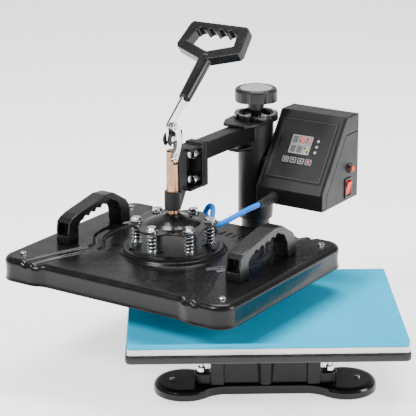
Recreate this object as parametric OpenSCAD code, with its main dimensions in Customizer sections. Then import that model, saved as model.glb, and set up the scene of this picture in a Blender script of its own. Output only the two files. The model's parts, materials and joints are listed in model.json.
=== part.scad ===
// Swing-away heat press with a toggle lever, a spring-mounted heated platen and a control box.
// Millimetres. Origin: foot of the column axis on the table. +X right, +Y back, +Z up.

/* [Base] */
// Width of the lower platen
lower_w = 380; // [340:5:400]
// Depth of the lower platen
lower_d = 290; // [260:5:300]
// Height of the top of the blue pad above the table
pad_top = 102.5; // [100:0.5:104]
// Sideways distance from the middle to the centre of a foot's end
foot_x = 112; // [108:1:116]
// Radius of a foot's round end
foot_r = 44; // [40:1:46]
// Height of a foot casting
foot_h = 15; // [14:0.5:17]

/* [Head] */
// Angle the head is swung away from over the lower platen
swing = -34.7; // [-145:0.1:0]
// Distance from the column axis to the plunger axis
reach = 222; // [218:1:226]
// Width of the heated platen's cover
cover_w = 384; // [380:1:390]
// Depth of the heated platen's cover
cover_d = 318; // [312:1:322]
// Outer radius of the column post
post_r = 21.5; // [21:0.1:22]

/* [Toggle] */
// Vertical travel of the plunger
travel = 36; // [30:0.5:36]
// Distance between the lever pin and the upper link rivet
crank = 18.5; // [18:0.1:19]
// Distance between the two link rivets
link_len = 44; // [43:0.5:45]
// Backward lean of the raised lever
lean = 49.5; // [40:0.5:50]

/* [Hidden] */
$fn = 64;

black = [0.07, 0.07, 0.075];
dark = [0.13, 0.13, 0.14];
steel = [0.75, 0.76, 0.78];
copper = [0.85, 0.62, 0.47];

// Running clearance of a shaft in its hole
run = 0.05;

// Base heights
blue_t = 8;
felt_t = 9.5;
platen_t = 12;
felt_z = pad_top - blue_t - felt_t;
lower_z = felt_z - platen_t;
foot_y = -283;
rear_y = 12;
spine_w = 50;
spine_t = 8;
// Distance the spine runs on past the middle of the front foot and of the rear foot
spine_front = 10;
spine_end = 18;
bolt_x = 17;
bolt_y = 10;
bolt_r = 3;
stud_x = 89;
stud_y = -294;
ear_h = 17;
// Sideways distance from the middle to the screw of a rubber foot
screw_x = foot_x + 17;

// Column heights
flange_h = 10;
post_top = 298;
sleeve_z = 163;
sleeve_r = 27;
sleeve_bore = 23.5 + run;
bush_r = 23.5;
// Lower plate beside the arm
hub_z = 275;
arm_z = 291;
arm_w = 25;
cap_z = 316;
cap_t = 4.5;
ring_z = cap_z + cap_t;
ring_h = 6.5;
// Underside of the wall that closes the sleeve
clasp_z = 310;
// Heights and radius of the box bracket's studs
bracket_z = [232, 254];
stud_r = 2.5;
knob_z = 345;
knob_h = 20;
knob_r = 32.5;
spindle_r = 8;

// Toggle, in the head's own axes: x across, y back, z up
flange_y = -160.5;
bracket_bolt_x = 5;
bracket_bolt_z = [266, 304];
toggle_y = -reach - 5;
pin_z = 337;
pin_r = 4;
rivet_z = pin_z + crank;
foot_rivet_z = rivet_z - link_len;
rod_r = 8.75;
rod_top = 320;
// Foot of the flat that the link lies against
rod_neck_z = 300;
barrel_z = 233;
barrel_top = 260;
barrel_r = 12;
link_in = 5.8;
link_out = 9.8;
cheek_in = 2.4;
cheek_out = 5.4;
bar_t = 4;
bar_w = 14;

// Upper platen, in the head's own axes about the plunger
heat_z = pad_top + travel + 0.3;
heat_t = 14;
cover_z = heat_z + 1;
cover_top = 173;
cover_wall = 2;
corner_r = 26;
// Top and radii of the round boss pressed into the cover
boss_z = 177.5;
boss_foot_r = 75;
boss_r = 73;
disc_z = boss_z + 5;
disc_r = 64;
spider_z = 211;
spider_t = 3;
bolt_pitch_r = 52;
spring_z = disc_z + 1.2;
handle_u = 145;
handle_screw_y = [-58, 68];

// Control box, in the head's own axes
box_x0 = 28;
box_x1 = 141;
box_back = 64;
box_z0 = 203;
slope_y0 = -43;
slope_z0 = 227;
slope_y1 = 30;
slope_z1 = 331;
wall = 2.5;
slope_len = sqrt(pow(slope_y1 - slope_y0, 2) + pow(slope_z1 - slope_z0, 2));
slope_angle = atan2(slope_z1 - slope_z0, slope_y1 - slope_y0);
// Depth of the front shell's lips along the slope, and of its skirt at the back
lip = 12;
skirt = 26;
// Label outline on the slope and the depth of its recess
label_x = 10;
label_w = 92;
label_y = 18;
label_h = 97;
label_t = 0.6;
// Window centres, key centres and lamp centres on the slope
window_c = [[51, 81.5], [51, 66.5]];
window_w = 34;
window_h = 13.5;
key_c = [[33.5, 48.5], [46.5, 48.5], [59.5, 48.5], [72.5, 48.5]];
key_w = 10.6;
key_h = 9;
key_rise = 1;
lamp_c = [[78, 83], [78, 74], [78, 65]];
// Reset button and rocker centres on the right side
reset_c = [38, 252];
rocker_c = [33.5, 222.5];
rocker_w = 13;
rocker_len = 23;
// Place, inward of the box's side, and radius of the rocker's pivot
pivot_x = -3;
pivot_r = 1.5;
reset_r = 4.2;
// Cable gland centre on the front face
gland_x = 58;
gland_z = 213;
// Where the cable enters the platen's cover
entry_x = 0;
entry_y = -124;

// Heater cable route: x across, y back, both in the head's axes, z up
cable_r = 4;
cable_path = [[58, -36, 213], [58, -62, 213], [58, -90, 213], [57.6, -103, 213], [56, -117, 212],
  [53, -135.8, 209.5], [48, -154.4, 205.6], [43, -168, 203], [39.2, -173.6, 203], [35.6, -174.6, 206],
  [32.8, -170.8, 210.8], [29.8, -165, 215.8], [26.4, -159, 219.6], [21.5, -153.4, 222],
  [15, -149.6, 221], [10.6, -149.6, 216.6], [7, -149, 210.5], [4.4, -144, 203.5], [1.8, -136, 197],
  [0.3, -128.6, 190.6], [0, -124.6, 184], [0, -124, 178], [0, -124, 173], [0, -124, 168]];
cable_steps = 3;

// Moves a shape into the swung head's axes
module in_head() rotate([0, 0, swing]) children();

// Moves a shape to the plunger axis in the head's axes
module at_plunger() in_head() translate([0, -reach, 0]) children();

// Places a shape on the box's sloped face: x across, y up the slope, z out of the face
module on_slope() in_head() translate([box_x0, slope_y0, slope_z0]) rotate([slope_angle, 0, 0]) children();

// Flat plate outline with round corners
module round_rect(w, d, r) {
  union() {
    square([w - 2 * r, d], center = true);
    square([w, d - 2 * r], center = true);
    for (sx = [-1, 1], sy = [-1, 1])
      translate([sx * (w / 2 - r), sy * (d / 2 - r)]) circle(r);
  }
}

// Solid block with round upright corners and a round upper edge
module soft_block(w, d, h, r, edge) {
  union() {
    linear_extrude(h - edge) round_rect(w, d, r);
    linear_extrude(h) round_rect(w - 2 * edge, d - 2 * edge, r - edge);
    for (sx = [-1, 1], sy = [-1, 1])
      translate([sx * (w / 2 - r), sy * (d / 2 - r), h - edge]) round_rim(r, edge);
    for (sy = [-1, 1])
      translate([0, sy * (d / 2 - edge), h - edge]) rotate([0, 90, 0])
        cylinder(r = edge, h = w - 2 * r, center = true);
    for (sx = [-1, 1])
      translate([sx * (w / 2 - edge), 0, h - edge]) rotate([90, 0, 0])
        cylinder(r = edge, h = d - 2 * r, center = true);
  }
}

// Round disc edge of a soft block's corner
module round_rim(r, edge) {
  rotate_extrude() union() {
    square([r - edge, edge]);
    translate([r - edge, 0]) intersection() {
      circle(edge);
      square(edge);
    }
  }
}

// Hexagonal head with a chamfered top
module hex_head(across, h) {
  intersection() {
    cylinder(d = across / cos(30), h = h, $fn = 6);
    rotate_extrude($fn = 48) polygon([[0, 0], [across * 0.58, 0], [across * 0.58, h * 0.7],
      [across * 0.48, h], [0, h]]);
  }
}

// Pan head with a crossed recess
module pan_head(r, h) {
  difference() {
    rotate_extrude() polygon([[0, 0], [r, 0], [r, h * 0.4], [r * 0.75, h * 0.85], [r * 0.4, h], [0, h]]);
    for (a = [0, 90]) rotate([0, 0, a]) translate([-r * 0.55, -0.5, h * 0.5]) cube([r * 1.1, 1, h]);
  }
}

// ---- Base ----

// Round end of a foot with a soft upper edge
module foot_lobe() {
  edge = 8;
  rotate_extrude() union() {
    square([foot_r - edge, foot_h]);
    square([foot_r, foot_h - edge]);
    translate([foot_r - edge, foot_h - edge]) intersection() {
      circle(edge);
      square(edge);
    }
  }
}

// Half width of a foot's waist
waist = 21;
// Centre distance and radius of the arc that blends the waist into a round end
blend_r = 42;
blend_y = waist + blend_r;
blend_x = foot_x - sqrt(pow(foot_r + blend_r, 2) - pow(blend_y, 2));

// Waist outline with arc blends into both round ends
module foot_waist() {
  difference() {
    square([2 * foot_x, 2 * foot_r * 0.78], center = true);
    for (sx = [-1, 1], sy = [-1, 1]) translate([sx * blend_x, sy * blend_y]) circle(blend_r);
    for (sy = [-1, 1]) translate([0, sy * (waist + foot_r)])
      square([2 * blend_x, 2 * foot_r], center = true);
  }
}

module foot_casting() {
  difference() {
    union() {
      for (sx = [-1, 1]) translate([sx * foot_x, 0, 0]) foot_lobe();
      linear_extrude(foot_h - 1.5) foot_waist();
      translate([-foot_x, -waist + 4, 0]) cube([2 * foot_x, 2 * waist - 8, foot_h]);
    }
    // sockets for the rubber feet
    for (sx = [-1, 1]) translate([sx * screw_x, 0, -1]) cylinder(r = 14, h = 4);
    // screw holes that hold the rubber feet
    for (sx = [-1, 1]) translate([sx * screw_x, 0, -1]) cylinder(r = 2.1, h = foot_h + 2);
    // bolt holes for the spine
    for (sx = [-1, 1]) translate([sx * bolt_x, bolt_y, -1]) cylinder(r = bolt_r, h = foot_h + 2);
  }
}

module front_foot() color(black) translate([0, foot_y, 0]) foot_casting();

module rear_foot() color(black) translate([0, rear_y, 0]) foot_casting();

// Steel channel that lies on both feet
module base_spine() {
  color(black) difference() {
    translate([-spine_w / 2, foot_y - spine_front, foot_h])
      cube([spine_w, rear_y - foot_y + spine_front + spine_end, spine_t]);
    for (sx = [-1, 1], y = [foot_y, rear_y]) translate([sx * bolt_x, y + bolt_y, 0])
      cylinder(r = bolt_r, h = 40);
  }
}

// Bonded rubber discs, flush with the castings' undersides
module rubber_feet() {
  color([0.05, 0.05, 0.05]) for (sx = [-1, 1], y = [foot_y, rear_y]) translate([sx * screw_x, y, 0])
    difference() {
      cylinder(r = 14, h = 3);
      translate([0, 0, -1]) cylinder(r = 4.5, h = 2.5);
      cylinder(r = 2.1, h = 5);
    }
}

module foot_screws() {
  color(steel) for (sx = [-1, 1], y = [foot_y, rear_y]) translate([sx * screw_x, y, 0]) union() {
    translate([0, 0, 1.6]) cylinder(r = 2, h = foot_h - 1.5);
    translate([0, 0, foot_h]) pan_head(4, 2.6);
  }
}

module spine_bolts() {
  color(steel) for (sx = [-1, 1], p = [[foot_y, foot_h + spine_t], [rear_y, foot_h + spine_t + flange_h]])
    translate([sx * bolt_x, p[0] + bolt_y, 0]) union() {
      translate([0, 0, 1]) cylinder(r = bolt_r, h = p[1]);
      translate([0, 0, p[1]]) hex_head(10, 4);
    }
}

// Steel tube with a foot flange and a threaded top plug
module column_post() {
  z0 = foot_h + spine_t;
  color(black) difference() {
    union() {
      translate([0, 0, z0]) cylinder(r = post_r, h = post_top - z0);
      translate([0, 0, z0]) linear_extrude(flange_h)
        square([spine_w, 2 * (rear_y + spine_end)], center = true);
    }
    translate([0, 0, z0 - 1]) cylinder(r = post_r - 4, h = 240);
    translate([0, 0, z0]) cylinder(r = spindle_r + run, h = post_top);
    for (sx = [-1, 1]) translate([sx * bolt_x, rear_y + bolt_y, 0]) cylinder(r = bolt_r, h = 60);
  }
}

// Casting that carries the lower platen on the spine
module platen_holder() {
  z0 = foot_h + spine_t;
  top = lower_z;
  half = 76;
  front_y = -300;
  back_y = -150;
  web = 6;
  frame_half = 90;
  color(black) difference() {
    union() {
      // front wall down to the foot, back wall and side walls down to the spine's level
      translate([-half, front_y, foot_h]) cube([2 * half, web, top - foot_h]);
      translate([-half, back_y - web, z0]) cube([2 * half, web, top - z0]);
      for (x = [-half, half - web]) translate([x, front_y, z0]) cube([web, back_y - front_y, top - z0]);
      // top frame under the platen
      for (y = [front_y - 8, back_y - web]) translate([-frame_half, y, top - web])
        cube([2 * frame_half, 14, web]);
      // thick pads either side of the front
      for (x = [-half, half - 18]) translate([x, front_y - web, foot_h + 0.5])
        cube([18, 10, top - foot_h - 0.5]);
      // middle boss, narrower at the foot
      translate([0, front_y + 2, 0]) intersection() {
        translate([0, 0, foot_h + 0.5]) cylinder(r1 = 9.5, r2 = 12.5, h = top - foot_h - 0.5);
        translate([-20, -9, 0]) cube([40, 14, top]);
      }
      // ears for the wing nuts
      for (sx = [-1, 1]) translate([sx * stud_x, stud_y, foot_h + 0.1]) union() {
        cylinder(r = 10, h = ear_h - 0.1);
        translate([sx > 0 ? -15 : 0, -10, 0]) cube([15, 20, ear_h - 0.1]);
      }
      // floor that sits on the spine
      translate([-half, front_y, z0]) cube([2 * half, back_y - front_y, 5]);
    }
    // spine passes under the holder
    translate([-spine_w / 2 - 0.2, foot_y - spine_front - 0.3, foot_h - 1])
      cube([spine_w + 0.4, 200, spine_t + 1]);
    for (sx = [-1, 1]) translate([sx * bolt_x, foot_y + bolt_y, 0]) cylinder(r = 7.5, h = z0 + 12);
    // stud holes
    for (sx = [-1, 1]) translate([sx * stud_x, stud_y, foot_h - 1]) cylinder(r = 3.1, h = ear_h + 2);
  }
}

// Studs that stand up from the foot through the ears
module holder_studs() {
  color(steel) for (sx = [-1, 1]) translate([sx * stud_x, stud_y, foot_h]) cylinder(r = 3, h = ear_h + 17);
}

module wing_nut() {
  difference() {
    union() {
      cylinder(r1 = 6, r2 = 5, h = 6.5);
      for (sx = [-1, 1]) rotate([90, 0, 0]) linear_extrude(3, center = true)
        polygon([[sx * 3.4, 1], [sx * 5.8, 1], [sx * 9.8, 7.5], [sx * 10.4, 12.5], [sx * 8.8, 14.2],
          [sx * 7, 12.5], [sx * 3.9, 6]]);
    }
    translate([0, 0, -1]) cylinder(r = 3 + run, h = 30);
  }
}

module wing_nut_left() color(steel) translate([-stud_x, stud_y, foot_h + ear_h + 0.3]) wing_nut();

module wing_nut_right() color(steel) translate([stud_x, stud_y, foot_h + ear_h + 0.3]) wing_nut();

// Painted aluminium plate that carries the pads, with round lower edges
module lower_platen() {
  color(dark) translate([0, -reach, felt_z]) mirror([0, 0, 1])
    soft_block(lower_w + 5, lower_d + 5, platen_t, 7, 4);
}

module felt_pad() {
  color([0.93, 0.92, 0.85]) translate([0, -reach, felt_z]) linear_extrude(felt_t)
    round_rect(lower_w, lower_d, 3);
}

module silicone_pad() {
  color([0, 0.72, 0.88]) translate([0, -reach, pad_top - blue_t]) linear_extrude(blue_t)
    round_rect(lower_w, lower_d, 2);
}

// ---- Column and head ----

// Flanged bronze bushes at the foot and the head of the sleeve
module column_bushes() {
  color([0.7, 0.5, 0.3]) for (z = [sleeve_z + 2, 268]) translate([0, 0, z]) difference() {
    cylinder(r = bush_r, h = 26);
    translate([0, 0, -1]) cylinder(r = post_r + run, h = 30);
  }
}

// Outline of the hub's upper plate
module hub_outline() {
  union() {
    circle(33.5);
    polygon([[-33, -8], [-30, -40], [-19, -62], [19, -62], [30, -40], [33, -8]]);
  }
}

module head_casting() {
  color(black) in_head() difference() {
    union() {
      translate([0, 0, sleeve_z]) cylinder(r = sleeve_r - 0.6, h = 8);
      translate([0, 0, sleeve_z + 8]) cylinder(r = sleeve_r, h = cap_z - sleeve_z - 8);
      // lower hub plate, which shows only left of the arm
      translate([0, 0, hub_z]) linear_extrude(4.5)
        polygon([[-27, -4], [-25, -34], [-16, -52], [0, -52], [10, -20], [10, -4]]);
      // square arm and its end flange
      translate([-arm_w / 2, -156, arm_z]) cube([arm_w, 140, arm_w]);
      translate([-15, flange_y, 254]) cube([30, 7.5, 65]);
      // boss that carries the control box
      translate([15, -14, 222]) cube([box_x0 - 15, 28, 42]);
    }
    // bearing bore, closed at the top by the wall that the spindle's collars clasp
    translate([0, 0, sleeve_z - 1]) cylinder(r = sleeve_bore, h = clasp_z - sleeve_z + 1);
    translate([0, 0, sleeve_z]) cylinder(r = spindle_r + 0.3, h = 200);
    for (z = bracket_bolt_z) translate([bracket_bolt_x, flange_y - 1, z]) rotate([-90, 0, 0])
      cylinder(r = 4.1, h = 12);
    for (z = bracket_z) translate([24, 0, z]) rotate([0, 90, 0]) cylinder(r = stud_r, h = 10);
  }
}

module cap_plate() {
  color(black) in_head() translate([0, 0, cap_z]) difference() {
    linear_extrude(cap_t) hub_outline();
    translate([0, 0, -1]) cylinder(r = 26, h = 10);
  }
}

// Slotted round nut
module lock_ring() {
  color(dark) in_head() translate([0, 0, ring_z]) difference() {
    cylinder(r = 33.2, h = ring_h);
    translate([0, 0, -1]) cylinder(r = 26, h = ring_h + 2);
    for (a = [0:45:315]) rotate([0, 0, a + 20]) translate([30, -3.5, -1]) cube([6, 7, ring_h + 2]);
  }
}

module pressure_knob() {
  color(black) translate([0, 0, knob_z]) difference() {
    union() {
      cylinder(r = knob_r, h = knob_h - 3);
      translate([0, 0, knob_h - 3]) cylinder(r1 = knob_r, r2 = knob_r - 3.5, h = 3);
      translate([0, 0, -10]) cylinder(r = 12.3, h = 10.5);
    }
    for (a = [0:60:300]) rotate([0, 0, a]) translate([knob_r + 10.5, 0, -1]) cylinder(r = 13, h = 40);
    translate([0, 0, knob_h - 1.5]) cylinder(r = 24, h = 5);
    translate([0, 0, -20]) cylinder(r = spindle_r, h = 34);
  }
}

module knob_cap() {
  color([0.55, 0.55, 0.55]) translate([0, 0, knob_z + knob_h - 1.5]) cylinder(r = 24, h = 1.2);
}

// Threaded rod that draws the head down the post
module knob_spindle() {
  color(dark) union() {
    translate([0, 0, 250]) cylinder(r = spindle_r, h = knob_z + 14 - 250);
    // collars under and over the sleeve's top wall
    translate([0, 0, clasp_z - 6.3]) cylinder(r = 12, h = 6);
    translate([0, 0, cap_z + 0.3]) cylinder(r = 14, h = 6);
  }
}

// ---- Toggle ----

// Casting with the yoke above and the guide barrel below
module toggle_frame() {
  rib_y = -reach + 9.6;
  rib_back = -reach + 27;
  color(black) in_head() difference() {
    union() {
      // guide barrel
      translate([0, -reach, barrel_z]) cylinder(r = barrel_r, h = barrel_top - barrel_z);
      // rib behind the rod
      translate([-cheek_out, rib_y, 240]) cube([2 * cheek_out, 8, pin_z + 9 - 240]);
      // tapered gusset from the barrel to the flange
      translate([-cheek_out, 0, 0]) rotate([90, 0, 90]) linear_extrude(2 * cheek_out)
        polygon([[rib_y, barrel_z], [rib_y + 5, barrel_z], [rib_back, 254], [rib_back, 262],
          [rib_y, 262]]);
      // yoke cheeks
      for (sx = [-1, 1]) translate([sx > 0 ? cheek_in : -cheek_out, 0, 0]) union() {
        translate([0, toggle_y, pin_z]) rotate([0, 90, 0]) cylinder(r = 10.5, h = cheek_out - cheek_in);
        translate([0, toggle_y, pin_z - 8]) cube([cheek_out - cheek_in, rib_y - toggle_y + 2, 17]);
      }
      // far web, top and bottom webs, and flange
      translate([-15, rib_back - 2, 254]) cube([5, flange_y - 7.5 - rib_back + 4, 62]);
      translate([-cheek_out, rib_y + 7, 254]) cube([2 * cheek_out, rib_back - rib_y - 5, 62]);
      translate([-15, rib_back - 2, 312]) cube([29, flange_y - 7.5 - rib_back + 4, 4]);
      translate([-15, rib_back - 2, 254]) cube([29, flange_y - 7.5 - rib_back + 4, 4]);
      translate([-15, flange_y - 7.5, 254]) cube([30, 7.5, 65]);
    }
    // slot for the lever bar
    translate([-cheek_in, toggle_y - 20, pin_z - 20]) cube([2 * cheek_in, 34, 50]);
    // rod clearance behind and bush bore
    translate([0, -reach, 200]) cylinder(r = 9.5, h = 130);
    translate([-20, toggle_y, pin_z]) rotate([0, 90, 0]) cylinder(r = pin_r, h = 40);
    for (z = bracket_bolt_z) translate([bracket_bolt_x, flange_y - 12, z]) rotate([-90, 0, 0])
      cylinder(r = 4.1, h = 20);
    // room for the heads of the bracket bolts
    for (z = bracket_bolt_z) translate([bracket_bolt_x, flange_y - 7.5, z]) rotate([90, 0, 0])
      cylinder(r = 8, h = 22);
  }
}

// Bolts of the toggle bracket, each with a thick washer under its head
module bracket_bolts() {
  washer_t = 6;
  color(steel) in_head() for (z = bracket_bolt_z)
    translate([bracket_bolt_x, flange_y - 7.5, z]) rotate([90, 0, 0]) union() {
      translate([0, 0, -15]) cylinder(r = 4, h = 15 + washer_t);
      cylinder(r = 5, h = washer_t);
      translate([0, 0, washer_t]) hex_head(13, 8);
    }
}

module guide_bush() {
  color([0.7, 0.5, 0.3]) at_plunger() translate([0, 0, barrel_z]) difference() {
    cylinder(r = 9.5, h = barrel_top - barrel_z);
    translate([0, 0, -1]) cylinder(r = rod_r + run, h = 40);
  }
}

module lever_pin() {
  color(steel) in_head() translate([-cheek_out, toggle_y, pin_z]) rotate([0, 90, 0])
    cylinder(r = pin_r, h = 2 * cheek_out);
}

// Lever axes: origin at the upper rivet, x across, z up the leaning lever
module on_lever() in_head() translate([0, toggle_y, rivet_z]) rotate([-lean, 0, 0]) children();

module lever_bar() {
  color(steel) union() {
    in_head() translate([-bar_t / 2, toggle_y, 0]) difference() {
      union() {
        translate([0, 0, pin_z]) rotate([0, 90, 0]) cylinder(r = bar_w / 2, h = bar_t);
        translate([0, -bar_w / 2, pin_z]) cube([bar_t, bar_w, crank]);
        translate([0, 0, rivet_z]) rotate([0, 90, 0]) cylinder(r = bar_w / 2, h = bar_t);
        translate([0, 0, rivet_z]) rotate([-lean, 0, 0]) translate([0, -bar_w / 2, 0])
          cube([bar_t, bar_w, 90]);
      }
      translate([-1, 0, pin_z]) rotate([0, 90, 0]) cylinder(r = pin_r + run, h = bar_t + 2);
      translate([-1, 0, rivet_z]) rotate([0, 90, 0]) cylinder(r = 3 + run, h = bar_t + 2);
    }
  }
}

// Closed six-sided loop outline of the grip: x across, y up the lever
module grip_outline() {
  polygon([[-8, 115], [8, 115], [51, 130], [54, 135], [49, 174], [46, 178], [-46, 178], [-49, 174],
    [-54, 135], [-51, 130]]);
}

module grip_opening() {
  union() {
    polygon([[0, 128], [39, 142], [35, 163], [-35, 163], [-39, 142]]);
    for (i = [-1.5:1:1.5]) translate([i * 17, 161]) circle(7.8);
  }
}

module lever_grip() {
  grip_t = 17;
  color(black) on_lever() difference() {
    union() {
      translate([0, 0, 48]) cylinder(r1 = 8.8, r2 = 10.2, h = 74);
      rotate([90, 0, 0]) linear_extrude(grip_t, center = true) difference() {
        grip_outline();
        grip_opening();
      }
    }
    // socket for the bar
    translate([-bar_t / 2, -bar_w / 2, 40]) cube([bar_t, bar_w, 50]);
  }
}

// Ring segment that bulges back past the lever pin: x back, y up from the upper rivet
module link_outline() {
  bulge = 9;
  half = link_len / 2;
  arc_r = (half * half + bulge * bulge) / (2 * bulge);
  difference() {
    union() {
      circle(r = 7);
      translate([0, -link_len]) circle(r = 7);
      intersection() {
        translate([bulge - arc_r, -half]) difference() {
          circle(arc_r + 5.5);
          circle(arc_r - 5.5);
        }
        translate([-10, -link_len]) square([60, link_len]);
      }
    }
    circle(r = 3);
    translate([0, -link_len]) circle(r = 3);
  }
}

module link_plate() {
  color(steel) in_head() translate([link_in, toggle_y, rivet_z])
    rotate([90, 0, 90]) linear_extrude(link_out - link_in) link_outline();
}

// Upper rivet right through bar and link, and a lower rivet that ends short of the rod
module link_rivets() {
  head = 1.8;
  gap = 0.3;
  color(steel) in_head() translate([0, toggle_y, 0]) rotate([0, 90, 0]) union() {
    translate([-rivet_z, 0, -bar_t / 2 - gap]) cylinder(r = 3, h = link_out + bar_t / 2 + gap);
    translate([-rivet_z, 0, -bar_t / 2 - gap - head]) cylinder(r1 = 3.5, r2 = 5, h = head);
    translate([-rivet_z, 0, bar_t / 2 + gap]) cylinder(r = 5, h = link_in - bar_t / 2 - gap);
    translate([-foot_rivet_z, 0, link_in]) cylinder(r = 3, h = link_out - link_in);
    for (z = [rivet_z, foot_rivet_z]) translate([-z, 0, link_out]) cylinder(r1 = 5, r2 = 3.5, h = head);
  }
}

// Round rod with a flat at its head for the link
module plunger_rod() {
  color(copper) at_plunger() difference() {
    union() {
      translate([0, 0, spider_z - 8]) cylinder(r = rod_r, h = rod_top - 2 - spider_z + 8);
      translate([0, 0, rod_top - 2]) cylinder(r1 = rod_r, r2 = rod_r - 2, h = 2);
    }
    translate([link_in - 0.4, -20, rod_neck_z]) cube([20, 40, 40]);
  }
}

// ---- Upper platen ----

// Six-lobed outline
module spider_outline() {
  difference() {
    circle(63);
    for (a = [0:60:300]) rotate([0, 0, a]) translate([84, 0]) circle(29);
  }
}

// Domed plate pressed in one piece with its lobes
module pressure_spider() {
  dome_r = 41;
  color(dark) at_plunger() translate([0, 0, spider_z]) difference() {
    union() {
      linear_extrude(spider_t) spider_outline();
      rotate_extrude() polygon([[0, 0], [dome_r, spider_t], [34, 6.4], [25, 10], [16, 13], [12, 15],
        [11, 16.5], [0, 16.5]]);
    }
    rotate_extrude() polygon([[0, -1], [37, -1], [33, 2.5], [24, 6.5], [15, 9.5], [0, 9.5]]);
    translate([0, 0, -5]) cylinder(r = rod_r, h = 40);
    for (a = [30:60:330]) rotate([0, 0, a]) translate([bolt_pitch_r, 0, -1]) cylinder(r = 4.3, h = 8);
    // oval slot in the dome
    rotate([0, 0, 38]) translate([25, 0, 0]) linear_extrude(20) union() {
      square([4.8, 6], center = true);
      for (y = [-3, 3]) translate([0, y]) circle(2.4);
    }
  }
}

// Sleeve with the outline of each compression spring
module springs() {
  spring_h = spider_z - spring_z;
  color(steel) at_plunger() for (a = [30:60:330]) rotate([0, 0, a]) translate([bolt_pitch_r, 0, spring_z])
    difference() {
      cylinder(r = 7.5, h = spring_h - 0.1, $fn = 48);
      translate([0, 0, -1]) cylinder(r = 4.6, h = spring_h + 2, $fn = 48);
    }
}

module spring_bolts() {
  color(steel) at_plunger() for (a = [30:60:330]) rotate([0, 0, a]) translate([bolt_pitch_r, 0, 0]) union() {
    translate([0, 0, disc_z - 6.5]) cylinder(r = 4, h = spider_z + spider_t - disc_z + 6.5);
    translate([0, 0, spider_z + spider_t + 0.3]) cylinder(r = 8, h = 1.4);
    translate([0, 0, spider_z + spider_t + 1.7]) hex_head(12.5, 5);
    translate([0, 0, disc_z]) cylinder(r = 7.8, h = 1.1);
  }
}

// Raised round plate that takes the springs' thrust
module pressure_disc() {
  color(dark) at_plunger() difference() {
    union() {
      translate([0, 0, boss_z]) cylinder(r = disc_r + 7, h = 2);
      rotate_extrude() polygon([[0, boss_z], [disc_r + 3, boss_z], [disc_r + 1, disc_z - 1],
        [disc_r - 1, disc_z], [0, disc_z]]);
    }
    for (a = [30:60:330]) rotate([0, 0, a]) translate([bolt_pitch_r, 0, boss_z - 1])
      cylinder(r = 4, h = 20);
    // half-moon slots
    for (a = [0:120:240]) rotate([0, 0, a - 90]) translate([40, 0, boss_z + 1]) linear_extrude(9)
      intersection() {
        difference() {
          circle(15);
          circle(10);
        }
        translate([2, -20]) square([20, 40]);
      }
    // notches in the raised rim
    for (a = [0:60:300]) rotate([0, 0, a]) translate([disc_r + 7, 0, boss_z + 2]) cylinder(r = 11, h = 9);
  }
}

// Pressed housing with thick corner blocks and a shallow front recess
module platen_cover() {
  h = cover_top - cover_z;
  color(dark) at_plunger() translate([0, 0, cover_z]) difference() {
    union() {
      soft_block(cover_w - 8, cover_d - 12, h, corner_r - 4, 5);
      for (sx = [-1, 1], sy = [-1, 1]) translate([sx * (cover_w / 2 - 34), sy * (cover_d / 2 - 32), 0])
        soft_block(68, 64, h - 2.5, corner_r, 5);
      linear_extrude(h - 4) round_rect(cover_w, cover_d - 60, 6);
      // turned-out rim
      linear_extrude(2) round_rect(cover_w + 1, cover_d - 11, corner_r - 3);
      // round boss under the pressure disc
      translate([0, 0, h]) cylinder(r1 = boss_foot_r, r2 = boss_r, h = boss_z - cover_top);
    }
    translate([0, 0, -1]) linear_extrude(h - cover_wall + 1) round_rect(cover_w - 14, cover_d - 16, 18);
    translate([0, 0, h - cover_wall - 0.5])
      cylinder(r1 = boss_foot_r - 2, r2 = boss_r - 2, h = boss_z - cover_top + 0.5);
    for (a = [30:60:330]) rotate([0, 0, a]) translate([bolt_pitch_r, 0, 0]) cylinder(r = 4.1, h = 60);
    for (sx = [-1, 1], sy = [-1, 1]) translate([sx * 168, sy * 130, 0]) cylinder(r = 2.2, h = 60);
    // hole for the heater cable
    translate([entry_x, entry_y + reach, 0]) cylinder(r = 7, h = 60);
    for (sx = [-1, 1], y = handle_screw_y) translate([sx * handle_u, y, 0]) cylinder(r = 2.5, h = 60);
    // vent slits at the back right
    for (i = [0:3]) translate([18 + 11 * i, 92, h - 5]) cube([3, 16, 10]);
  }
}

module cover_screws() {
  color(steel) at_plunger() for (sx = [-1, 1], sy = [-1, 1]) translate([sx * 168, sy * 130, cover_top])
    union() {
      pan_head(5, 3);
      translate([0, 0, -22]) cylinder(r = 2, h = 22.5);
    }
}

module insulation_mat() {
  color([0.85, 0.82, 0.7]) at_plunger() translate([0, 0, heat_z + heat_t]) difference() {
    linear_extrude(6) round_rect(cover_w - 30, cover_d - 30, 10);
    for (sx = [-1, 1], sy = [-1, 1]) translate([sx * 168, sy * 130, -1]) cylinder(r = 6, h = 10);
  }
}

module heating_plate() {
  color([0.3, 0.3, 0.32]) at_plunger() translate([0, 0, heat_z]) difference() {
    linear_extrude(heat_t) round_rect(cover_w - 16, cover_d - 18, 18);
    for (sx = [-1, 1], sy = [-1, 1]) translate([sx * 168, sy * 130, 8]) cylinder(r = 2.2, h = 20);
  }
}

// Side view of a carrying handle: x back, y up
module handle_side() {
  difference() {
    polygon([[-69, 0], [-69, 20], [-67, 33], [-60, 38], [-48, 42], [18, 54], [40, 52], [70, 34], [76, 26],
      [79, 0]]);
    polygon([[-47, -1], [-47, 24], [-40, 30], [34, 41], [46, 36], [54, 22], [57, -1]]);
    for (i = [0:4]) translate([-28 + 14 * i, 29.5 + 2.1 * i]) circle(6, $fn = 32);
  }
}

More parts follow.
